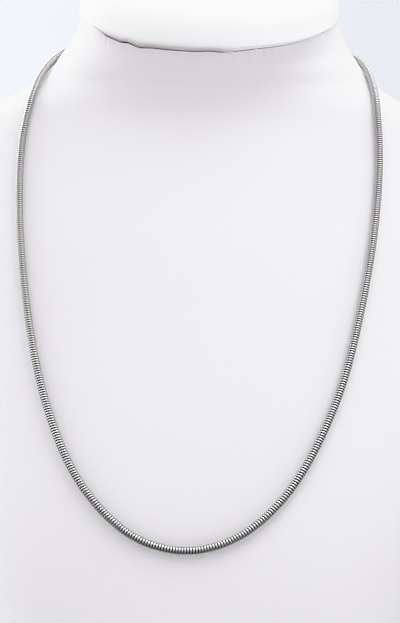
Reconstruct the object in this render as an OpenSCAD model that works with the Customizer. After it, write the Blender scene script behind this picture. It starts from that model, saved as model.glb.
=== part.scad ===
// Snake chain necklace, hung round a plain neck bust.
// The origin is under the middle of the bust's base, +Z is up and the chest faces -Y.

/* [Snake chain] */
// Outside diameter of the chain
chain_d = 2.8; // [2:0.1:4]
// Gap between the necklace and the bust that it lies on
chain_gap = 0.3; // [0.2:0.05:0.6]

/* [Clasp] */
// Length of the barrel clasp
clasp_len = 13; // [11:0.5:18]
// Wall of the barrel round the chain
clasp_wall = 0.6; // [0.5:0.1:1.2]
// Depth of the socket at each end of the barrel
socket_depth = 3; // [2:0.25:4]
// Clearance round the chain and behind its end in the socket
socket_gap = 0.3; // [0.2:0.05:0.5]
// Chamfer round both ends of the barrel
clasp_chamfer = 0.4; // [0.2:0.05:0.6]

/* [Bust] */
// Width over the shoulders
bust_w = 212; // [196:1:230]
// Height of the body up to the middle of the sloping neck seam
body_h = 250; // [230:1:270]
// How far the chest stands out in front of the neck's middle
chest_reach = 87; // [80:1:96]
// How far the back stands out behind the neck's middle
back_reach = 50; // [45:1:58]
// Width of the neck at its seam
neck_w = 102; // [92:1:110]
// Depth of the neck at its seam, measured along the slope
neck_depth = 97; // [90:1:104]
// Angle of the neck's sloping top, in degrees, lower at the front
neck_angle = 34; // [26:1:38]
// Radius of the edge round the base
base_edge = 3; // [1:0.5:6]

/* [Neck cap] */
// Thickness of the cap at its edge
cap_h = 11; // [8:0.5:16]
// How far the cap's side stands out past the neck
cap_lip = 1; // [0:0.1:3]
// Radius of the cap's upper edge
cap_round = 5; // [3:0.25:5.5]
// Radius of the cap's lower edge, tucked in at the seam
cap_tuck = 1.5; // [0.5:0.25:2]
// How high the cap's top is crowned in the middle
cap_crown = 2; // [0:0.25:5]
// Gap of the seam between the neck and the cap
seam_gap = 0.3; // [0.2:0.05:0.6]

/* [Hidden] */

// Fineness of the shapes
rings_a_row = 3;
bust_sides = 56;
edge_steps = 4;
round_steps = 5;
chain_sides = 8;
clasp_sides = 48;

// Steps in height share and in degrees over which the skin's direction is measured
probe_h = 0.002;
probe_angle = 0.5;

// Columns of the table of sections through the bust
AT = 0;          // height, as a share of body_h
W_BUST = 1;      // half width, as a share of half of bust_w
W_NECK = 2;      // half width, as a share of half of neck_w, added to the above
MIDDLE = 3;      // place of the widest line, as a share of back_reach
F_BUST = 4;      // depth in front of the widest line, as a share of chest_reach
F_NECK = 5;      // depth in front, as a share of half of neck_depth, added to the above
B_BUST = 6;      // depth behind the widest line, as a share of back_reach
B_NECK = 7;      // depth behind, as a share of half of neck_depth, added to the above
SLOPE = 8;       // slope of the section, as a share of neck_angle
N_FRONT = 9;     // squareness in front, 2 is an ellipse
N_BACK = 10;     // squareness behind

SECTIONS = [
    [0.000, 0.72, 0.000, -0.18, 0.87, 0.000, 1.12, 0.00, 0.00, 2.7, 3.2],
    [0.100, 0.75, 0.000, -0.18, 0.90, 0.000, 1.16, 0.00, 0.00, 2.7, 3.2],
    [0.220, 0.80, 0.000, -0.16, 0.87, 0.000, 1.16, 0.00, 0.00, 2.7, 3.2],
    [0.360, 0.87, 0.000, -0.10, 0.77, 0.000, 1.10, 0.00, 0.00, 2.6, 3.1],
    [0.500, 0.93, 0.000, -0.02, 0.65, 0.000, 1.02, 0.00, 0.00, 2.5, 3.0],
    [0.610, 0.98, 0.000, 0.06, 0.57, 0.000, 0.94, 0.00, 0.00, 2.3, 2.8],
    [0.700, 1.00, 0.000, 0.12, 0.50, 0.000, 0.88, 0.00, 0.02, 2.1, 2.6],
    [0.770, 0.98, 0.000, 0.16, 0.46, 0.000, 0.83, 0.00, 0.08, 2.0, 2.4],
    [0.820, 0.92, 0.000, 0.16, 0.43, 0.000, 0.80, 0.00, 0.18, 2.0, 2.3],
    [0.850, 0.80, 0.070, 0.15, 0.36, 0.120, 0.60, 0.20, 0.28, 2.0, 2.2],
    [0.875, 0.55, 0.355, 0.13, 0.24, 0.340, 0.42, 0.38, 0.39, 2.0, 2.1],
    [0.900, 0.31, 0.655, 0.10, 0.13, 0.550, 0.26, 0.57, 0.52, 2.0, 2.1],
    [0.930, 0.13, 0.910, 0.06, 0.04, 0.750, 0.10, 0.77, 0.68, 2.0, 2.0],
    [0.960, 0.03, 1.015, 0.03, 0.00, 0.875, 0.00, 0.92, 0.84, 2.0, 2.0],
    [1.000, 0.00, 1.000, 0.00, 0.00, 1.000, 0.00, 1.00, 1.00, 2.1, 2.1]
];

// Rings of the cap's crowned top, each as the share of the top that it spans
CROWN_RINGS = [0.80, 0.60, 0.35, 0.15];

// Columns of the chain's route over the bust
HEIGHT = 0;      // section that the point lies on, as a share of body_h
AROUND = 1;      // angle round that section, 0 at the chest and 90 at the right side
RINGS = 2;       // rings of the tube on the stretch that starts here

CHAIN_ROUTE = [
    [0.907, -163.5, 2], [0.914, -149, 2], [0.925, -132, 2], [0.930, -116.5, 2], [0.928, -106, 1],
    [0.920, -96.5, 2], [0.906, -82.5, 2], [0.885, -66, 1], [0.866, -55, 2], [0.837, -46, 2],
    [0.778, -41.5, 2], [0.705, -39, 3], [0.615, -36.5, 3], [0.512, -34, 3], [0.413, -30.5, 3],
    [0.330, -25.5, 2], [0.275, -19.5, 2], [0.235, -11, 2], [0.222, -0.5, 2], [0.238, 9.5, 2],
    [0.277, 17.5, 3], [0.335, 23.5, 3], [0.417, 28.5, 3], [0.505, 31.5, 4], [0.609, 34, 3],
    [0.703, 36.5, 2], [0.776, 39, 2], [0.837, 44, 2], [0.864, 52, 1], [0.883, 62, 2],
    [0.911, 81.5, 2], [0.924, 97, 2], [0.929, 108, 2], [0.929, 119.5, 2], [0.924, 133, 2],
    [0.914, 149, 2], [0.907, 163, 2]
];

// Where the clasp lies on the nape, in the same first two columns
CLASP_PLACE = [0.905, 180];
clasp_d = chain_d + 2 * (socket_gap + clasp_wall);
socket_d = chain_d + 2 * socket_gap;
// The chain runs straight into the clasp over this length outside its mouth
straight_run = 1;
mouth_rings = 1;
joining_rings = 2;

last_row = len(SECTIONS) - 1;

// The table of sections, made smooth between its rows
function row_below(h, i = last_row - 1) = i == 0 || SECTIONS[i][AT] <= h ? i : row_below(h, i - 1);
function row_slope(i) =
    let (low = max(i - 1, 0), high = min(i + 1, last_row))
    (SECTIONS[high] - SECTIONS[low]) / (SECTIONS[high][AT] - SECTIONS[low][AT]);
function section(h) =
    let (
        i = row_below(h),
        step = SECTIONS[i + 1][AT] - SECTIONS[i][AT],
        u = (h - SECTIONS[i][AT]) / step,
        u2 = u * u,
        u3 = u2 * u
    )
    (2 * u3 - 3 * u2 + 1) * SECTIONS[i]
    + (u3 - 2 * u2 + u) * step * row_slope(i)
    + (3 * u2 - 2 * u3) * SECTIONS[i + 1]
    + (u3 - u2) * step * row_slope(i + 1);

// Point of the bust's skin at a height share and an angle, drawn in by inset
function bust_point(h, angle, inset = 0) =
    let (
        s = section(h),
        front = cos(angle) > 0,
        n = front ? s[N_FRONT] : s[N_BACK],
        stretch = pow(pow(abs(sin(angle)), n) + pow(abs(cos(angle)), n), -1 / n),
        half_w = s[W_BUST] * bust_w / 2 + s[W_NECK] * neck_w / 2 - inset,
        ahead = s[F_BUST] * chest_reach + s[F_NECK] * neck_depth / 2 - inset,
        behind = s[B_BUST] * back_reach + s[B_NECK] * neck_depth / 2 - inset,
        deep = (front ? -ahead : behind) * abs(cos(angle)) * stretch,
        tip = s[SLOPE] * neck_angle
    )
    [
        half_w * sin(angle) * stretch,
        s[MIDDLE] * back_reach + deep * cos(tip),
        h * body_h + deep * sin(tip)
    ];

function unit(v) = v / norm(v);

// Direction straight out of the skin
function bust_facing(h, angle) = unit(cross(
    bust_point(h, angle + probe_angle) - bust_point(h, angle - probe_angle),
    bust_point(h + probe_h, angle) - bust_point(h - probe_h, angle)
));

// Faces that join rings of points, stacked one on the other, with a flat face at each end
function ring_faces(rings, sides) = concat(
    [[for (i = [0 : sides - 1]) i]],
    [for (r = [0 : rings - 2]) for (i = [0 : sides - 1]) for (half = [0, 1])
        let (a = r * sides + i, b = r * sides + (i + 1) % sides)
        half == 0 ? [a, a + sides, b + sides] : [a, b + sides, b]],
    [[for (i = [sides - 1 : -1 : 0]) (rings - 1) * sides + i]]
);
module stacked_rings(rings, sides) {
    polyhedron([for (ring = rings) for (p = ring) p], ring_faces(len(rings), sides));
}
function turn(i) = 360 * i / bust_sides;

// Bust body: [height share, inset] of each ring, from the base's rounded edge to the seam
bust_levels = concat(
    [for (i = [0 : edge_steps]) let (a = 90 * i / edge_steps)
        [base_edge * (1 - cos(a)) / body_h, base_edge * (1 - sin(a))]],
    [for (r = [0 : last_row - 1]) for (k = [0 : rings_a_row - 1])
        if (r + k > 0)
            [SECTIONS[r][AT] + (SECTIONS[r + 1][AT] - SECTIONS[r][AT]) * k / rings_a_row, 0]],
    [[1, 0]]
);
bust_rings = [for (level = bust_levels) [for (i = [0 : bust_sides - 1])
    bust_point(level[0], turn(i), level[1])]];

// Neck cap: a point of its surface from the seam's outline, moved out past the neck, up from
// the seam and, for the crowned top, drawn together towards the middle
function cap_point(angle, out, up, share = 1) =
    let (p = bust_point(1, angle, -out))
    [
        p.x * share,
        p.y * share - up * sin(neck_angle),
        body_h + (p.z - body_h) * share + up * cos(neck_angle)
    ];
cap_levels = concat(
    [for (i = [0 : edge_steps]) let (a = 90 * i / edge_steps)
        [cap_lip - cap_tuck * (1 - sin(a)), seam_gap + cap_tuck * (1 - cos(a)), 1]],
    [for (i = [0 : round_steps]) let (a = 90 * i / round_steps)
        [cap_lip - cap_round * (1 - cos(a)), cap_h - cap_round * (1 - sin(a)), 1]],
    [for (share = CROWN_RINGS) [cap_lip - cap_round, cap_h + cap_crown * (1 - share * share), share]]
);
cap_rings = [for (level = cap_levels) [for (i = [0 : bust_sides - 1])
    cap_point(turn(i), level[0], level[1], level[2])]];

// Snake chain: stops that it passes, each a place and the direction that it faces away from
// the bust, with both ends in the clasp's sockets
clasp_facing = bust_facing(CLASP_PLACE[HEIGHT], CLASP_PLACE[AROUND]);
clasp_middle = bust_point(CLASP_PLACE[HEIGHT], CLASP_PLACE[AROUND])
    + clasp_facing * (clasp_d / 2 + chain_gap);
socket_end = clasp_len / 2 - socket_depth + socket_gap;
straight_end = clasp_len / 2 + straight_run;
function clasp_stop(x) = [clasp_middle + [x, 0, 0], clasp_facing];
stops = concat(
    [clasp_stop(-socket_end), clasp_stop(-straight_end)],
    [for (p = CHAIN_ROUTE) let (facing = bust_facing(p[HEIGHT], p[AROUND]))
        [bust_point(p[HEIGHT], p[AROUND]) + facing * (chain_d / 2 + chain_gap), facing]],
    [clasp_stop(straight_end), clasp_stop(socket_end)]
);
stop_rings = concat([mouth_rings, joining_rings], [for (p = CHAIN_ROUTE) p[RINGS]], [mouth_rings]);
function stop(i) = stops[max(0, min(i, len(stops) - 1))];
// Smooth line through the stops, a share u of the way from stop i to the next
function between_stops(i, u) =
    let (a = stop(i - 1), b = stop(i), c = stop(i + 1), d = stop(i + 2))
    (2 * b + (c - a) * u + (2 * a - 5 * b + 4 * c - d) * u * u
    + (3 * b - a - 3 * c + d) * u * u * u) / 2;
chain_line = concat(
    [for (i = [0 : len(stops) - 2]) for (k = [0 : stop_rings[i] - 1])
        between_stops(i, k / stop_rings[i])],
    [stop(len(stops) - 1)]
);
last_link = len(chain_line) - 1;
// Ring i of the tube, with a flat of its outline towards the bust
function chain_ring(i) =
    let (
        along = unit(chain_line[min(i + 1, last_link)][0] - chain_line[max(i - 1, 0)][0]),
        side = unit(cross(along, chain_line[i][1])),
        out = cross(side, along)
    )
    [for (k = [0 : chain_sides - 1]) let (a = 360 * (k + 0.5) / chain_sides)
        chain_line[i][0] + (out * cos(a) + side * sin(a)) * chain_d / 2];
chain_rings = [for (i = [0 : last_link]) chain_ring(i)];

// Moves the whole to stand over the middle of its base's bounding box
bust_y = [for (ring = bust_rings) for (p = ring) p.y];
chain_y = [for (ring = chain_rings) for (p = ring) p.y];
shift_y = -(min(concat(bust_y, chain_y)) + max(concat(bust_y, chain_y))) / 2;

module snake_chain() {
    color("silver") translate([0, shift_y, 0]) stacked_rings(chain_rings, chain_sides);
}

module clasp() {
    color("silver") translate(clasp_middle + [0, shift_y, 0]) rotate([0, 90, 0]) difference() {
        rotate_extrude($fn = clasp_sides) polygon([
            [0, -clasp_len / 2],
            [clasp_d / 2 - clasp_chamfer, -clasp_len / 2],
            [clasp_d / 2, clasp_chamfer - clasp_len / 2],
            [clasp_d / 2, clasp_len / 2 - clasp_chamfer],
            [clasp_d / 2 - clasp_chamfer, clasp_len / 2],
            [0, clasp_len / 2]
        ]);
        for (end = [0, 180])
            rotate([end, 0, 0]) translate([0, 0, clasp_len / 2 - socket_depth])
                cylinder(h = 2 * socket_depth, d = socket_d, $fn = clasp_sides);
    }
}

module bust_body() {
    color("white") translate([0, shift_y, 0]) stacked_rings(bust_rings, bust_sides);
}

module neck_cap() {
    color("white") translate([0, shift_y, 0]) stacked_rings(cap_rings, bust_sides);
}

snake_chain();
clasp();
bust_body();
neck_cap();
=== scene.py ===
"""Snake chain necklace on a leatherette neck bust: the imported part's looks, laid out as a Blender add-on.

Everything is in metres in the part's own frame: +Z up, the chest faces -Y, the origin under the base.
"""
import math

import bmesh
import bpy
from mathutils import Matrix, Vector, noise


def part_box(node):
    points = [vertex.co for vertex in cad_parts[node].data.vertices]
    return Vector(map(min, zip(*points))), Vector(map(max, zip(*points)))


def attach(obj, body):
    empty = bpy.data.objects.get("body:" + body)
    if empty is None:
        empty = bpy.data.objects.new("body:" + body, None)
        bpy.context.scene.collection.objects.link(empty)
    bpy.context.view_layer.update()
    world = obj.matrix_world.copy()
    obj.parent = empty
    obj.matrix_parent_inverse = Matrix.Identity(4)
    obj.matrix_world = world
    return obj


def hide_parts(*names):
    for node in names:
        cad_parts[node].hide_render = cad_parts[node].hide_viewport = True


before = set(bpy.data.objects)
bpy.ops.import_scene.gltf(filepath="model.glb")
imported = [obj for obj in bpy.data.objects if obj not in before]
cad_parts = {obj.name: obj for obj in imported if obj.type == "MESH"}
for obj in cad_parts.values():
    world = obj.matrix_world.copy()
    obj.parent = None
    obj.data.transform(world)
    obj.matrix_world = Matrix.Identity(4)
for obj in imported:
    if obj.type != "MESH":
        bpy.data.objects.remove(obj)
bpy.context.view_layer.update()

bl_info = {
    "name": "Snake chain necklace on a neck bust",
    "version": (1, 0, 0),
    "blender": (4, 5, 0),
    "location": "3D View > Sidebar > Necklace",
    "description": "Builds the ribbed chain, its clasp, the leatherette bust and the studio round them",
    "category": "Add Mesh",
}

MM = 0.001
PHOTO_HEIGHT_PX = 623
SENSOR_MM = 36.0
CLIP_START = 10 * MM
# Points nearer than this are one point, and points this near to a plane lie in it
SAME_PLACE = 0.01 * MM
FLAT = 0.02 * MM


class ChainSettings(bpy.types.PropertyGroup):
    diameter: bpy.props.FloatProperty(
        name="Diameter", description="Diameter over the ribs", default=2.8 * MM, unit="LENGTH")
    rib_pitch: bpy.props.FloatProperty(
        name="Rib pitch", description="Distance from one rib of the chain to the next", default=0.887 * MM,
        unit="LENGTH")
    rib_sides: bpy.props.IntProperty(
        name="Rib sides", description="Sides of each rib's outline", default=16, min=10)
    groove: bpy.props.FloatProperty(
        name="Groove", description="Radius at the groove between two ribs, as a share of the chain's radius",
        default=0.72, subtype="FACTOR")
    steel: bpy.props.StringProperty(
        name="Steel", description="Colour of the polished steel, sRGB hex", default="CAC9C8")
    # Painted shade: the steel down in the grooves is painted darker, for the shade the grooves cast on
    # themselves
    groove_shade: bpy.props.StringProperty(
        name="Groove tone", description="Colour of the steel down in the grooves, sRGB hex", default="4A4744")


class BustSettings(bpy.types.PropertyGroup):
    leather: bpy.props.StringProperty(
        name="Leatherette", description="Colour of the body's leatherette, sRGB hex", default="F2F0F4")
    leather_clouds: bpy.props.StringProperty(
        name="Leatherette clouds", description="Colour of its faintly darker clouds, sRGB hex",
        default="ECE9EF")
    # Painted light: the cap's leatherette is a lighter copy of the body's, for the stronger light that falls
    # on the top
    cap_lit_tone: bpy.props.StringProperty(
        name="Cap leatherette", description="Colour of the cap's leatherette, sRGB hex", default="FAFBFD")
    cap_lit_clouds: bpy.props.StringProperty(
        name="Cap clouds", description="Colour of its faintly darker clouds, sRGB hex", default="F4F6F9")
    seam_tone: bpy.props.StringProperty(
        name="Seam tone", description="Colour of the leatherette in the shade of the seam, sRGB hex",
        default="A09492")
    grain: bpy.props.FloatProperty(
        name="Grain", description="Size of one pebble of the leatherette's grain", default=0.45 * MM,
        unit="LENGTH")
    smooth_levels: bpy.props.IntProperty(
        name="Smoothing", description="Levels of subdivision over the solid's faces", default=2, min=0, max=3)
    seam_band: bpy.props.FloatProperty(
        name="Seam band", description="Depth of the fine mesh beside the neck seam", default=6 * MM,
        unit="LENGTH")
    rolled_edge: bpy.props.FloatProperty(
        name="Rolled edge", description="Height of the cap's rolled lower edge over the seam",
        default=1.5 * MM, unit="LENGTH")
    lean: bpy.props.FloatProperty(
        name="Lean", description="How far the cap's front leans back for each metre it rises", default=0.75)
    gathers: bpy.props.FloatProperty(
        name="Gathers", description="Height of the fine gathers below the seam", default=0.70 * MM,
        unit="LENGTH")


class StudioSettings(bpy.types.PropertyGroup):
    focal_px: bpy.props.FloatProperty(
        name="Focal length", description="Focal length of the view in pixels of the picture", default=900.0)
    turn: bpy.props.FloatProperty(
        name="Turn", description="How far the camera is turned to the part's right",
        default=math.radians(1.3), subtype="ANGLE")
    roll: bpy.props.FloatProperty(
        name="Roll", description="How far the camera leans to its left", default=math.radians(1.6),
        subtype="ANGLE")
    place: bpy.props.FloatVectorProperty(
        name="Place", description="Where the camera stands", default=(0.0078, -0.3438, 0.1298),
        unit="LENGTH")
    light: bpy.props.FloatProperty(
        name="Light", description="Strength of all the softboxes together", default=1.0, subtype="FACTOR")
    fill: bpy.props.FloatProperty(
        name="Fill", description="Strength of the dim light from all round", default=0.51, subtype="FACTOR")
    low_fill: bpy.props.FloatProperty(
        name="Low fill", description="Strength of the dim light from below the horizon", default=0.23,
        subtype="FACTOR")
    surround: bpy.props.FloatVectorProperty(
        name="Surround", description="Linear colour of the plain surround, left of the part",
        default=(0.95, 1.01, 1.31), subtype="COLOR", max=4.0)
    surround_right: bpy.props.FloatVectorProperty(
        name="Surround, right", description="Linear colour of the plain surround, right of the part",
        default=(0.82, 0.84, 0.92), subtype="COLOR", max=4.0)
    crisp: bpy.props.FloatProperty(
        name="Crispness", description="How much the picture is sharpened", default=0.085, subtype="FACTOR")


def settings(kind):
    return getattr(bpy.context.scene, "necklace_" + kind)


def linear(hex_colour):
    """An sRGB hex value as linear red, green, blue, alpha."""
    parts = [int(hex_colour[i:i + 2], 16) / 255 for i in (0, 2, 4)]
    return tuple(c / 12.92 if c <= 0.04045 else ((c + 0.055) / 1.055) ** 2.4 for c in parts) + (1.0,)


def add(tree, kind, values=None, links=None, **own):
    """Adds a node with its own settings, its socket values and the links into it."""
    node = tree.nodes.new(kind)
    for name, value in own.items():
        setattr(node, name, value)
    for name, value in (values or {}).items():
        node.inputs[name].default_value = value
    for name, source in (links or {}).items():
        tree.links.new(source, node.inputs[name])
    return node


def ranged(tree, value, source, target=(0.0, 1.0), **own):
    """Maps a node's value from one range to another, and keeps it within the second."""
    ends = {"From Min": source[0], "From Max": source[1], "To Min": target[0], "To Max": target[1]}
    return add(tree, "ShaderNodeMapRange", ends, {"Value": value}, **own).outputs["Result"]


def between(points, at):
    """Straight-line value at this place in a table of (place, value) rows."""
    for (x0, y0), (x1, y1) in zip(points, points[1:]):
        if at <= x1:
            return y0 + (y1 - y0) * max(at - x0, 0) / (x1 - x0)
    return points[-1][1]


def deselect():
    if bpy.context.mode != "OBJECT":
        bpy.ops.object.mode_set(mode="OBJECT")
    bpy.ops.object.select_all(action="DESELECT")


def only(piece):
    """Selects this object alone and makes it active."""
    deselect()
    piece.select_set(True)
    bpy.context.view_layer.objects.active = piece


def edit(piece):
    only(piece)
    bpy.ops.object.mode_set(mode="EDIT")
    bpy.ops.mesh.select_all(action="DESELECT")


def select_faces(piece, inside):
    """In edit mode: selects the faces whose corners all pass the test."""
    bpy.ops.mesh.select_all(action="DESELECT")
    net = bmesh.from_edit_mesh(piece.data)
    for face in net.faces:
        face.select_set(all(inside(v.co) for v in face.verts))
    net.select_flush_mode()
    bmesh.update_edit_mesh(piece.data)


def apply_modifier(piece, kind, **values):
    only(piece)
    modifier = piece.modifiers.new(kind.title(), kind)
    for name, value in values.items():
        setattr(modifier, name, value)
    bpy.ops.object.modifier_apply(modifier=modifier.name)


def finish_piece(piece, material, node):
    """Gives a piece its material, and lets it ride on the part in the place of its solid."""
    piece.data.materials.clear()
    piece.data.materials.append(bpy.data.materials[material])
    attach(piece, "root")
    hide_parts(node)


# Two triangles become one four-sided face where they turn by less than this, whatever the face's shape
QUAD_TURN = math.radians(60)
ANY_SHAPE = math.pi


def covered_copy(node, name, flats):
    """A leatherette cover that starts as the solid's surface: flats made one face each, then smoothed."""
    own = settings("bust")
    piece = bpy.data.objects.new(name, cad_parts[node].data.copy())
    bpy.context.scene.collection.objects.link(piece)
    edit(piece)
    bpy.ops.mesh.select_all(action="SELECT")
    bpy.ops.mesh.remove_doubles(threshold=SAME_PLACE)
    bpy.ops.mesh.customdata_custom_splitnormals_clear()
    for flat in flats:
        select_faces(piece, flat)
        bpy.ops.mesh.dissolve_faces()
        bpy.ops.mesh.region_to_loop()
        bpy.ops.transform.edge_crease(value=1.0)
    bpy.ops.mesh.select_all(action="SELECT")
    bpy.ops.mesh.tris_convert_to_quads(face_threshold=QUAD_TURN, shape_threshold=ANY_SHAPE)
    deselect()
    apply_modifier(piece, "SUBSURF", levels=own.smooth_levels, render_levels=own.smooth_levels)
    return piece


# The seam's flat face is the largest that looks up this much and lies higher than this
LOOKS_UP = 0.5
SEAM_ABOVE = 200 * MM


class Seam:
    """The sloping plane of the neck seam: heights over it and angles round it, 0 at the chest."""

    def __init__(self):
        net = bmesh.new()
        net.from_mesh(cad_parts["bust_body"].data)
        bmesh.ops.remove_doubles(net, verts=net.verts, dist=SAME_PLACE)
        rim = [f for f in net.faces if f.normal.z > LOOKS_UP and f.calc_center_median().z > SEAM_ABOVE]
        top = max(rim, key=lambda f: f.calc_area())
        self.up = top.normal.copy()
        flat = [v.co.copy() for v in net.verts if abs((v.co - top.verts[0].co).dot(self.up)) < FLAT]
        self.middle = sum(flat, Vector()) / len(flat)
        self.back = self.up.cross(Vector((1, 0, 0)))
        net.free()

    def height(self, co):
        return (co - self.middle).dot(self.up)

    def angle(self, co):
        arm = co - self.middle
        return math.degrees(math.atan2(arm.x, -arm.dot(self.back)))

    def outward(self, co):
        arm = co - self.middle
        return (arm - self.up * arm.dot(self.up)).normalized()


# How far the seam wanders up or down from its plane: angle round the neck in degrees, millimetres up
SEAM_WANDERS = (
    (-180, 0.0), (-100, 0.3), (-80, 1.0), (-64, 2.0), (-54, 1.4), (-48.5, 0.6), (-38.5, -0.5),
    (-35.5, 0.1), (-29.5, -1.1), (-23, -0.5), (-4, -0.45), (1.5, -0.1), (8.5, -0.7), (11, -0.35),
    (21, 0.2), (45, 0.4), (57, 0.9), (75, 0.3), (90, 0.0), (180, 0.0),
)
# How wide the seam stands open beyond its gap: angle round the neck in degrees, millimetres
SEAM_OPENS = (
    (-180, 0.0), (-66, -0.1), (-54, -0.12), (-50, 0.0), (-48, 0.4), (-40, 0.05), (-37, 0.18),
    (-31, 0.0), (-28, -0.12), (-10, -0.18), (7, -0.14), (8.5, -0.42), (10.5, -0.4), (12, -0.12),
    (20, -0.14), (21.5, -0.3), (23, -0.14), (32, -0.14), (34, -0.32), (36, -0.18), (44, -0.22),
    (47, -0.32), (90, -0.2), (180, 0.0),
)
# How strongly the cover is gathered below the seam round the neck: angle in degrees, share
GATHERED = (
    (-180, 0.3), (-70, 0.1), (-45, 0.3), (-30, 0.2), (0, 0.25), (11, 0.8), (20, 1.0), (28, 0.9),
    (33, 0.3), (90, 0.2), (180, 0.3),
)
# How strongly the leatherette beside the seam is shaded round the neck: angle in degrees, share
SEAM_SHADED = (
    (-180, 0.3), (-60, 0.0), (-53, 0.8), (-40, 1.0), (-20, 1.0), (5, 0.85), (13, 0.3), (30, 0.15),
    (60, 0.0), (180, 0.3),
)


def shade_seam(piece, shades):
    """Stores how much of the seam's shade each point of a piece has, for its material to read."""
    shade = piece.data.attributes.new("seam_shade", "FLOAT", "POINT")
    for entry, value in zip(shade.data, shades):
        entry.value = value


# Each share of the seam band is cut finer once, so the mesh is finest next to the seam
FINER_BANDS = (1.0, 0.6)
# The flat under the cap stays as it is inside this radius
FLAT_MIDDLE = 30 * MM
# How strong the seam's shade is on the body, and the depth over which it fades
BODY_SHADE = 0.3
BODY_SHADE_DEPTH = 2.5 * MM
# The gathers rise over the first depth below the seam and die away over the second
GATHERS_RISE = 0.5 * MM
GATHERS_FADE = 2.6 * MM
# The gathers are noise, read at so many steps to a degree from a first step on, over a length down the
# neck and in one slice, and made this much stronger to fill their height
GATHERS_A_DEGREE = 1.0
GATHERS_FIRST = 0.3
GATHERS_LENGTH = 9 * MM
GATHERS_SLICE = 3.0
GATHERS_GAIN = 2


class BustBody(bpy.types.Operator):
    """Covers the chest, shoulders and neck in leatherette, gathered a little under the neck seam"""
    bl_idname = "necklace.bust_body"
    bl_label = "Bust body"

    def execute(self, context):
        own = settings("bust")
        seam = Seam()
        piece = covered_copy("bust_body", "leatherette_body", (
            lambda co: co.z < FLAT, lambda co: abs(seam.height(co)) < FLAT))
        edit(piece)
        for share in FINER_BANDS:
            select_faces(piece, lambda co: -own.seam_band * share < seam.height(co) < FLAT
                         and (co - seam.middle).length > FLAT_MIDDLE)
            bpy.ops.mesh.subdivide(number_cuts=1)
        deselect()
        shade_seam(piece, [
            BODY_SHADE * between(SEAM_SHADED, seam.angle(v.co))
            * math.exp(min(seam.height(v.co), 0) / BODY_SHADE_DEPTH)
            for v in piece.data.vertices])
        for vertex in piece.data.vertices:
            depth = -seam.height(vertex.co)
            if depth < own.seam_band and (vertex.co - seam.middle).length > FLAT_MIDDLE:
                vertex.co += self.cover_moves(own, seam, vertex.co, depth)
        only(piece)
        bpy.ops.object.shade_smooth()
        finish_piece(piece, "white_leatherette", "bust_body")
        return {"FINISHED"}

    @staticmethod
    def cover_moves(own, seam, co, depth):
        """How far a point near the seam moves along the neck with the seam, and swells out in the gathers."""
        angle = seam.angle(co)
        near = (1 - depth / own.seam_band) ** 2
        rise = (between(SEAM_WANDERS, angle) - between(SEAM_OPENS, angle)) * MM * near
        fade = math.exp(-depth / GATHERS_FADE) * (1 - math.exp(-depth / GATHERS_RISE))
        step = angle * GATHERS_A_DEGREE + GATHERS_FIRST
        crease = noise.noise(Vector((step, depth / GATHERS_LENGTH, GATHERS_SLICE)))
        fold = own.gathers * between(GATHERED, angle) * crease * GATHERS_GAIN * fade
        return seam.outward(co) * fold + seam.up * rise


# How much of the pad's lean its side has round the neck: angle in degrees, share
LEANS_BACK = (
    (-180, 0.0), (-100, 0.0), (-60, 0.6), (-30, 1.0), (30, 1.0), (60, 0.6), (100, 0.0), (180, 0.0),
)
# Outside this radius the pad leans in full, and towards its middle less and less
LEANS_OUTSIDE = 50 * MM
# The height over which the seam's shade fades up the pad's rolled edge
CAP_SHADE_HEIGHT = 1.7 * MM


class NeckCap(bpy.types.Operator):
    """Closes the neck with its round-edged leatherette pad, tucked in at the seam"""
    bl_idname = "necklace.neck_cap"
    bl_label = "Neck cap"

    def execute(self, context):
        own = settings("bust")
        seam = Seam()
        heights = [seam.height(v.co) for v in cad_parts["neck_cap"].data.vertices]
        low, high = min(heights), max(heights)
        piece = covered_copy("neck_cap", "leatherette_cap", (
            lambda co: seam.height(co) < low + FLAT, lambda co: seam.height(co) > high - FLAT))
        shade_seam(piece, [
            between(SEAM_SHADED, seam.angle(v.co))
            * math.exp(-((seam.height(v.co) - low) / CAP_SHADE_HEIGHT) ** 2)
            for v in piece.data.vertices])
        for vertex in piece.data.vertices:
            vertex.co += self.pad_moves(own, seam, vertex.co, seam.height(vertex.co) - low)
        only(piece)
        bpy.ops.object.shade_smooth()
        # The cap wears the leatherette painted lighter, as painted light for the light on the top
        finish_piece(piece, "cap_lit_leatherette", "neck_cap")
        return {"FINISHED"}

    @staticmethod
    def pad_moves(own, seam, co, height):
        """How far a point of the pad follows the seam's way, and leans back over the rolled lower edge."""
        angle = seam.angle(co)
        rise = between(SEAM_WANDERS, angle) * MM * max(1 - height / own.seam_band, 0) ** 2
        above = max(height - own.rolled_edge, 0)
        outer = min((co - seam.middle).length / LEANS_OUTSIDE, 1)
        lean = own.lean * between(LEANS_BACK, angle) * above * outer
        return seam.up * rise - seam.outward(co) * lean


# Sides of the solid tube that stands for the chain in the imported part
TUBE_SIDES = 8


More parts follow.
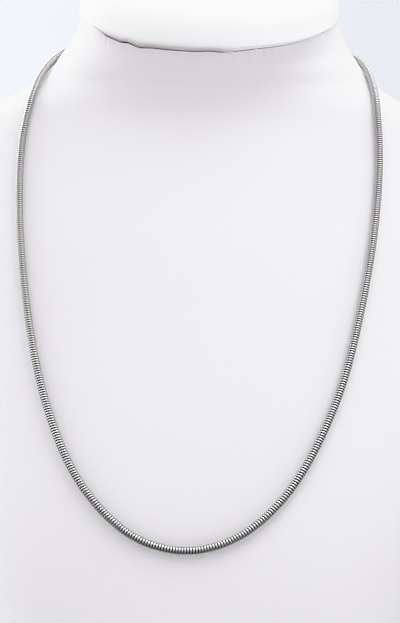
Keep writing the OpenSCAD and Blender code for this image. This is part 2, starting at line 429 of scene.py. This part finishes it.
def chain_middle():
    """Middle line of the chain, read ring by ring from its solid tube, from the clasp's left socket on."""
    tube = bmesh.new()
    tube.from_mesh(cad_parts["snake_chain"].data)
    bmesh.ops.remove_doubles(tube, verts=tube.verts, dist=SAME_PLACE)
    tube.verts.index_update()
    middle = sum((Vector(corner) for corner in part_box("clasp")), Vector()) / 2
    left = [v for v in tube.verts if v.co.x < middle.x]
    ring = sorted(left, key=lambda v: (v.co - middle).length)[:TUBE_SIDES]
    seen, line = set(ring), []
    while ring:
        if len(ring) != TUBE_SIDES:
            raise RuntimeError("the chain's solid isn't a tube of %d sides" % TUBE_SIDES)
        # Always in the same order, so that each run adds up to the same line
        ring.sort(key=lambda v: v.index)
        line.append(sum((v.co for v in ring), Vector()) / TUBE_SIDES)
        ring = list({edge.other_vert(v) for v in ring for edge in v.link_edges} - seen)
        seen.update(ring)
    tube.free()
    return line


# A rib's outline turns at this share of the pitch from each groove, where its radius is this share of full
RIB_TURN = 0.15
RIB_TURN_RADIUS = 0.93
# Edges sharper than this stay sharp: the grooves do, and the ribs' sides don't
SHARP_TURN = math.radians(70)


class SnakeChain(bpy.types.Operator):
    """Makes one rib of the snake chain, repeats it and bends the row along the chain's line"""
    bl_idname = "necklace.snake_chain"
    bl_label = "Snake chain"

    def execute(self, context):
        own = settings("chain")
        path = self.chain_path()
        length = path.data.splines[0].calc_length()
        count = round(length / own.rib_pitch)
        pitch = length / count
        chain = self.one_rib(own, pitch)
        apply_modifier(chain, "ARRAY", count=count, use_relative_offset=False, use_constant_offset=True,
                       constant_offset_displace=(pitch, 0, 0), use_merge_vertices=True, merge_threshold=FLAT)
        apply_modifier(chain, "CURVE", object=path, deform_axis="POS_X")
        edit(chain)
        bpy.ops.mesh.select_non_manifold()
        bpy.ops.mesh.edge_face_add()
        bpy.ops.mesh.select_all(action="SELECT")
        bpy.ops.mesh.normals_make_consistent(inside=False)
        only(chain)
        bpy.ops.object.shade_smooth_by_angle(angle=SHARP_TURN)
        finish_piece(chain, "polished_stainless_steel", "snake_chain")
        bpy.data.objects.remove(path)
        return {"FINISHED"}

    @staticmethod
    def chain_path():
        """The chain's middle line as a smooth curve."""
        line = chain_middle()
        deselect()
        bpy.ops.curve.primitive_bezier_curve_add(location=(0, 0, 0))
        path = bpy.context.object
        path.data.dimensions = "3D"
        path.data.twist_mode = "MINIMUM"
        points = path.data.splines[0].bezier_points
        points.add(len(line) - len(points))
        for point, place in zip(points, line):
            point.co = place
            point.handle_left_type = point.handle_right_type = "AUTO"
        bpy.context.view_layer.update()
        return path

    @staticmethod
    def one_rib(own, pitch):
        """A rounded ring between two grooves, grown from a circle along X."""
        outline = ((0.0, own.groove), (RIB_TURN, RIB_TURN_RADIUS), (0.5, 1.0),
                   (1 - RIB_TURN, RIB_TURN_RADIUS), (1.0, own.groove))
        radius = own.diameter / 2
        deselect()
        bpy.ops.mesh.primitive_circle_add(vertices=own.rib_sides, radius=radius * own.groove,
                                          rotation=(0, math.radians(90), 0))
        rib = bpy.context.object
        rib.name = "snake_chain_ribs"
        bpy.ops.object.transform_apply(location=False, rotation=True, scale=False)
        bpy.ops.object.mode_set(mode="EDIT")
        bpy.ops.mesh.select_all(action="SELECT")
        for (x0, r0), (x1, r1) in zip(outline, outline[1:]):
            bpy.ops.mesh.extrude_region_move(TRANSFORM_OT_translate={"value": ((x1 - x0) * pitch, 0, 0)})
            bpy.ops.transform.resize(value=(1, r1 / r0, r1 / r0), center_override=(x1 * pitch, 0, 0))
        bpy.ops.object.mode_set(mode="OBJECT")
        height = rib.data.attributes.new("rib_height", "FLOAT", "POINT")
        for entry, vertex in zip(height.data, rib.data.vertices):
            share = math.hypot(vertex.co.y, vertex.co.z) / radius
            entry.value = (share - own.groove) / (1 - own.groove)
        return rib


class Clasp(bpy.types.Operator):
    """Finishes the plain barrel clasp in polished steel"""
    bl_idname = "necklace.clasp"
    bl_label = "Clasp"

    def execute(self, context):
        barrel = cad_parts["clasp"].data
        barrel.materials.clear()
        barrel.materials.append(bpy.data.materials["turned_stainless_steel"])
        return {"FINISHED"}


class Materials(bpy.types.Operator):
    """Mixes the leatherette and the steel"""
    bl_idname = "necklace.materials"
    bl_label = "Materials"

    def execute(self, context):
        bust = settings("bust")
        white_leatherette("white_leatherette", bust, bust.leather, bust.leather_clouds)
        # The cap gets the leatherette painted lighter, as painted light for the stronger light on the top
        white_leatherette("cap_lit_leatherette", bust, bust.cap_lit_tone, bust.cap_lit_clouds)
        polished_steel(settings("chain"))
        turned_steel(settings("chain"))
        return {"FINISHED"}


# Noise patterns: about how many patches there are to a metre, and how fine the detail in them is
CLOUDS = {"Scale": 14.0, "Detail": 3.0}
SPECKS = {"Scale": 900.0, "Detail": 2.0}
TOOL_MARKS = {"Scale": 1 / (0.15 * MM), "Detail": 1.0}
MOTTLE = {"Scale": 6.0, "Detail": 4.0}
# The values that noise mostly has
NOISE_RANGE = (0.3, 0.7)
# The leatherette's grain: how strongly it shows and how deep it is
GRAIN_SHOWS = {"Strength": 0.35, "Distance": 0.05 * MM}
LEATHERETTE_ROUGHNESS = 0.55
LEATHERETTE_IOR = 1.46
RIB_ROUGHNESS = (0.10, 0.20)
# From the first share of a rib's height to the second, the painted shade of the groove turns into bright
# steel
GROOVE_SHADE_TO_RIB = (0.15, 0.9)
# The tool marks are drawn out across the barrel's length, so that they run round it
MARKS_STRETCHED = (1.0, 0.02, 0.02)
BARREL_ROUGHNESS = (0.14, 0.28)


def new_material(name):
    material = bpy.data.materials.new(name)
    material.use_nodes = True
    tree = material.node_tree
    return tree, tree.nodes["Principled BSDF"], add(tree, "ShaderNodeTexCoord").outputs["Object"]


def two_tones(tree, factor, first, second):
    """A colour between two, each an sRGB hex value, a linear colour or another node's colour."""
    mix = add(tree, "ShaderNodeMix", data_type="RGBA", links={"Factor": factor})
    tones = [socket for socket in mix.inputs if socket.type == "RGBA"]
    for tone, colour in zip(tones, (first, second)):
        if isinstance(colour, bpy.types.NodeSocket):
            tree.links.new(colour, tone)
        else:
            tone.default_value = linear(colour) if isinstance(colour, str) else (*colour, 1)
    return next(socket for socket in mix.outputs if socket.type == "RGBA")


def white_leatherette(name, own, tone, cloud_tone):
    """White PU leatherette with a fine pebble grain: soft matt white with a faint sheen on the turns."""
    tree, shader, place = new_material(name)
    clouds = add(tree, "ShaderNodeTexNoise", CLOUDS, {"Vector": place})
    plain = two_tones(tree, clouds.outputs["Fac"], tone, cloud_tone)
    shade = add(tree, "ShaderNodeAttribute", attribute_name="seam_shade")
    shaded = two_tones(tree, shade.outputs["Fac"], plain, own.seam_tone)
    tree.links.new(shaded, shader.inputs["Base Color"])
    pebbles = add(tree, "ShaderNodeTexVoronoi", {"Scale": 1 / own.grain}, {"Vector": place},
                  feature="SMOOTH_F1")
    bump = add(tree, "ShaderNodeBump", GRAIN_SHOWS, {"Height": pebbles.outputs["Distance"]})
    tree.links.new(bump.outputs["Normal"], shader.inputs["Normal"])
    shader.inputs["Roughness"].default_value = LEATHERETTE_ROUGHNESS
    shader.inputs["IOR"].default_value = LEATHERETTE_IOR


def polished_steel(own):
    """Polished stainless steel: near mirror on the ribs, painted dark down in the grooves as painted shade.
    """
    tree, shader, place = new_material("polished_stainless_steel")
    shader.inputs["Metallic"].default_value = 1.0
    speck = add(tree, "ShaderNodeTexNoise", SPECKS, {"Vector": place})
    tree.links.new(ranged(tree, speck.outputs["Fac"], NOISE_RANGE, RIB_ROUGHNESS),
                   shader.inputs["Roughness"])
    # Painted shade: the colour turns from the dark groove shade at the bottom of each groove to bright steel
    # on the rib
    depth = add(tree, "ShaderNodeAttribute", attribute_name="rib_height")
    rise = ranged(tree, depth.outputs["Fac"], GROOVE_SHADE_TO_RIB)
    tree.links.new(two_tones(tree, rise, own.groove_shade, own.steel), shader.inputs["Base Color"])


def turned_steel(own):
    """Stainless steel turned on a lathe and polished: bright, with faint rings round the barrel."""
    tree, shader, place = new_material("turned_stainless_steel")
    shader.inputs["Metallic"].default_value = 1.0
    shader.inputs["Base Color"].default_value = linear(own.steel)
    along = add(tree, "ShaderNodeMapping", {"Scale": MARKS_STRETCHED}, {"Vector": place})
    rings = add(tree, "ShaderNodeTexNoise", TOOL_MARKS, {"Vector": along.outputs["Vector"]})
    tree.links.new(ranged(tree, rings.outputs["Fac"], NOISE_RANGE, BARREL_ROUGHNESS),
                   shader.inputs["Roughness"])


# Width and height of the lights in metres
SQUARE = (0.42, 0.42)
STRIP = (0.12, 0.90)
# Each light's name, degrees round from the front to the part's left or right, degrees up, size and watts.
# The watts started as a least-squares fit to the photo's brightness, and some were changed after it.
SOFTBOXES = (
    ("low_left_softbox", -110, 8, SQUARE, 1.77),
    ("left_softbox", -110, 38, SQUARE, 2.05),
    ("left_front_softbox", -45, 38, SQUARE, 0.30),
    ("front_softbox", -15, 38, SQUARE, 0.55),
    ("right_front_softbox", 45, 38, SQUARE, 0.70),
    ("right_softbox", 110, 38, SQUARE, 0.85),
    ("top_softbox", 0, 65, SQUARE, 0.65),
    ("top_right_softbox", 60, 65, SQUARE, 1.60),
    ("right_strip_light", 80, 12, STRIP, 0.60),
)
SOFTBOX_AWAY = 0.75
LIT_MIDDLE = Vector((0, -0.02, 0.15))


def softbox(name, round_degrees, up_degrees, size, power):
    """A soft area light that faces the middle of the part."""
    around, up = math.radians(round_degrees), math.radians(up_degrees)
    away = Vector((math.sin(around) * math.cos(up), -math.cos(around) * math.cos(up), math.sin(up)))
    bpy.ops.object.light_add(type="AREA", location=LIT_MIDDLE + away * SOFTBOX_AWAY)
    lamp = bpy.context.object
    lamp.name = name
    lamp.data.shape = "RECTANGLE"
    lamp.data.size, lamp.data.size_y = size
    lamp.data.energy = power
    lamp.rotation_euler = (-away).to_track_quat("-Z", "Y").to_euler()


# The surround's left colour turns into its right one over this much of the view's direction, left to right
SURROUND_TURNS = (-0.22, 0.22)
# The low fill turns into the fill over this much of the direction, upwards, round the horizon
HORIZON_BAND = (-0.15, 0.05)


def surround(own):
    """A plain pale surround behind the part, that lights it only dimly."""
    world = bpy.data.worlds.new("pale_surround")
    world.use_nodes = True
    tree = world.node_tree
    seen = tree.nodes["Background"]
    place = add(tree, "ShaderNodeTexCoord")
    across = add(tree, "ShaderNodeSeparateXYZ", links={"Vector": place.outputs["Generated"]})
    share = ranged(tree, across.outputs["X"], SURROUND_TURNS)
    tree.links.new(two_tones(tree, share, own.surround, own.surround_right), seen.inputs["Color"])
    rise = ranged(tree, across.outputs["Z"], HORIZON_BAND, (own.low_fill, own.fill))
    dim = add(tree, "ShaderNodeBackground", {"Color": (1, 1, 1, 1)}, {"Strength": rise})
    path = add(tree, "ShaderNodeLightPath")
    mix = add(tree, "ShaderNodeMixShader", links={"Fac": path.outputs["Is Camera Ray"]})
    tree.links.new(dim.outputs["Background"], mix.inputs[1])
    tree.links.new(seen.outputs["Background"], mix.inputs[2])
    tree.links.new(mix.outputs["Shader"], tree.nodes["World Output"].inputs["Surface"])
    return world


# Linear brightness is kept up to the knee, then bends over softly to white, so near whites keep their shades
KNEE = 0.75
CURVE_POINTS = (KNEE, 0.87, 1.0, 1.2, 1.5, 2.0)
BRIGHTEST = 4.0
ALL_CHANNELS = 3
DISPLAY_GAMMA = 2.2


def softened(light):
    """Linear brightness, from the knee up, after developing."""
    room = 1 - KNEE
    return 1 - room * math.exp(-(light - KNEE) / room)


def develop(scene, own):
    """Softens the whites of the picture and sharpens it a little in its shown tones, as a camera does."""
    scene.view_settings.view_transform = "Standard"
    # The denoiser's accurate guides smear the fine ribs off the chain's upright strands
    scene.cycles.denoising_prefilter = "FAST"
    scene.use_nodes = True
    tree = scene.node_tree
    tree.nodes.clear()
    picture = add(tree, "CompositorNodeRLayers")
    shoulder = add(tree, "CompositorNodeCurveRGB", links={"Image": picture.outputs["Image"]})
    mapping = shoulder.mapping
    mapping.clip_max_x = BRIGHTEST
    curve = mapping.curves[ALL_CHANNELS]
    curve.points[-1].location = (BRIGHTEST, softened(BRIGHTEST))
    for light in CURVE_POINTS:
        curve.points.new(light, softened(light))
    mapping.update()
    shown = add(tree, "CompositorNodeGamma", {"Gamma": 1 / DISPLAY_GAMMA},
                {"Image": shoulder.outputs["Image"]})
    crisp = add(tree, "CompositorNodeFilter", {"Fac": own.crisp}, {"Image": shown.outputs["Image"]},
                filter_type="SHARPEN")
    back = add(tree, "CompositorNodeGamma", {"Gamma": DISPLAY_GAMMA}, {"Image": crisp.outputs["Image"]})
    add(tree, "CompositorNodeComposite", links={"Image": back.outputs["Image"]})


# The floor board's side, how far it lies under the base, and between which distances it fades out
FLOOR_SIDE = 4.0
FLOOR_DROP = 0.2 * MM
FLOOR_FADES = (0.6, 1.5)
FLOOR_TONES = ("E8E8EA", "E3E3E6")
FLOOR_ROUGHNESS = 0.7


class Studio(bpy.types.Operator):
    """Sets the floor, the soft lights, the pale surround and the camera"""
    bl_idname = "necklace.studio"
    bl_label = "Studio"

    def execute(self, context):
        own = settings("studio")
        self.floor()
        deselect()
        for name, around, up, size, power in SOFTBOXES:
            softbox(name, around, up, size, power * own.light)
        context.scene.world = surround(own)
        develop(context.scene, own)
        context.scene.camera = self.camera(own)
        return {"FINISHED"}

    @staticmethod
    def floor():
        """A matt painted board that fades into the surround far out, so that no edge shows."""
        deselect()
        bpy.ops.mesh.primitive_plane_add(size=FLOOR_SIDE, location=(0, 0, -FLOOR_DROP))
        board = bpy.context.object
        board.name = "studio_floor"
        board.visible_glossy = False
        tree, shader, place = new_material("pale_floor_paint")
        mottle = add(tree, "ShaderNodeTexNoise", MOTTLE, {"Vector": place})
        tree.links.new(two_tones(tree, mottle.outputs["Fac"], *FLOOR_TONES), shader.inputs["Base Color"])
        shader.inputs["Roughness"].default_value = FLOOR_ROUGHNESS
        away = add(tree, "ShaderNodeVectorMath", links={"Vector": place}, operation="LENGTH")
        fade = ranged(tree, away.outputs["Value"], FLOOR_FADES, (1.0, 0.0), interpolation_type="SMOOTHSTEP")
        tree.links.new(fade, shader.inputs["Alpha"])
        board.data.materials.append(bpy.data.materials["pale_floor_paint"])

    @staticmethod
    def camera(own):
        """A level view along +Y, turned and rolled a little."""
        camera = bpy.data.objects.new("camera", bpy.data.cameras.new("camera"))
        bpy.context.scene.collection.objects.link(camera)
        camera.data.sensor_width = SENSOR_MM
        camera.data.lens = own.focal_px / PHOTO_HEIGHT_PX * SENSOR_MM
        camera.data.clip_start = CLIP_START
        camera.location = own.place
        ahead = Vector((-math.sin(own.turn), math.cos(own.turn), 0))
        right = Vector((math.cos(own.turn), math.sin(own.turn), 0))
        up = right.cross(ahead)
        leaned_right = right * math.cos(own.roll) + up * math.sin(own.roll)
        leaned_up = up * math.cos(own.roll) - right * math.sin(own.roll)
        camera.rotation_euler = Matrix((leaned_right, leaned_up, -ahead)).transposed().to_euler()
        return camera


class NecklacePanel(bpy.types.Panel):
    """Lists the pieces and their settings in the sidebar"""
    bl_idname = "VIEW3D_PT_necklace"
    bl_label = "Necklace on a bust"
    bl_space_type = "VIEW_3D"
    bl_region_type = "UI"
    bl_category = "Necklace"

    def draw(self, context):
        for kind, group in SETTINGS.items():
            for name in group.__annotations__:
                self.layout.prop(settings(kind), name)
        for operator in OPERATORS:
            self.layout.operator(operator.bl_idname)


SETTINGS = {"chain": ChainSettings, "bust": BustSettings, "studio": StudioSettings}
OPERATORS = (Materials, BustBody, NeckCap, SnakeChain, Clasp, Studio)


def register():
    for one in (*SETTINGS.values(), *OPERATORS, NecklacePanel):
        bpy.utils.register_class(one)
    for kind, group in SETTINGS.items():
        setattr(bpy.types.Scene, "necklace_" + kind, bpy.props.PointerProperty(type=group))


def unregister():
    for kind in SETTINGS:
        delattr(bpy.types.Scene, "necklace_" + kind)
    for one in (NecklacePanel, *reversed(OPERATORS), *reversed(SETTINGS.values())):
        bpy.utils.unregister_class(one)


def main():
    register()
    for operator in OPERATORS:
        group, name = operator.bl_idname.split(".")
        getattr(getattr(bpy.ops, group), name)()


if __name__ == "__main__":
    main()
